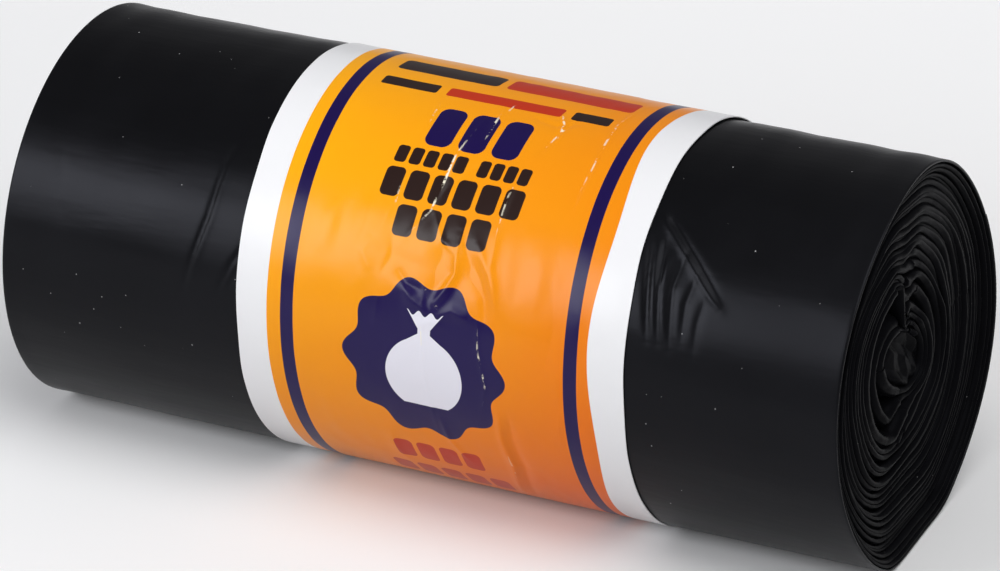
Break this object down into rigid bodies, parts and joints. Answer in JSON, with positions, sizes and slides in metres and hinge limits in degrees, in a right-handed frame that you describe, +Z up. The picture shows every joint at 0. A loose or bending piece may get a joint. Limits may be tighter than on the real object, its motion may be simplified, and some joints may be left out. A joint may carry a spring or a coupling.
{
  "type": "bin bag roll",
  "caption": "Roll of black refuse sacks lying on its side, wound flat film with a hollow at each end, held by a printed paper band.",
  "frame": {"origin": "on the floor under the middle of the roll, at the centre of the flat spot that it lies on", "axes": "+X along the roll to the end that shows its turns, +Z up, -Y to the side of the band that carries the seal"},
  "size_m": [0.234, 0.1038, 0.1006],
  "materials": {
    "film": "soft gloss",
    "paper": "gloss coated",
    "ink_orange": "gloss coated",
    "ink_navy": "gloss coated",
    "ink_white": "gloss coated",
    "ink_dark": "gloss coated",
    "ink_red": "gloss coated"
  },
  "bodies": {
    "root": {"bag_roll": "film", "label_paper": "paper", "label_field": "ink_orange", "label_stripes": "ink_navy", "label_seal": "ink_navy", "seal_sack": "ink_white", "navy_marks": "ink_navy", "dark_marks": "ink_dark", "red_marks": "ink_red"}
  },
  "joints": []
}
